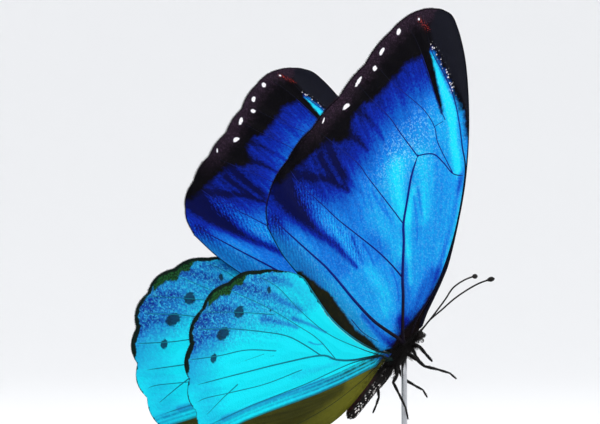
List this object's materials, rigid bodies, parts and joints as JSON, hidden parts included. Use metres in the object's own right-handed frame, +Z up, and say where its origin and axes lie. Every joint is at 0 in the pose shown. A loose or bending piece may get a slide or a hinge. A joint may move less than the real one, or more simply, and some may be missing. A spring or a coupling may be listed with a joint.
{
  "type": "blue morpho butterfly",
  "caption": "Life-size still model of a blue morpho butterfly, climbing with raised blue wings edged in black, held by a rod on a round wooden base.",
  "frame": {"origin": "centre of the display stand's foot, on the surface that it stands on", "axes": "+Z up along the stand's rod, +X the way the butterfly heads, +Y to the butterfly's left"},
  "size_m": [0.0904, 0.072, 0.1208],
  "materials": {
    "wing": "satin",
    "fur": "matte",
    "shell": "satin",
    "eye": "gloss",
    "base_wood": "satin",
    "rod_steel": "brushed"
  },
  "bodies": {
    "root": {"thorax": "fur", "head": "fur", "abdomen": "fur", "proboscis": "shell", "eye_left": "eye", "eye_right": "eye", "antenna_left": "shell", "antenna_right": "shell", "palp_left": "fur", "palp_right": "fur", "leg_fore_left": "shell", "leg_fore_right": "shell", "leg_mid_left": "shell", "leg_mid_right": "shell", "leg_hind_left": "shell", "leg_hind_right": "shell", "forewing_left": "wing", "forewing_right": "wing", "hindwing_left": "wing", "hindwing_right": "wing", "stand_base": "base_wood", "stand_rod": "rod_steel"}
  },
  "joints": []
}
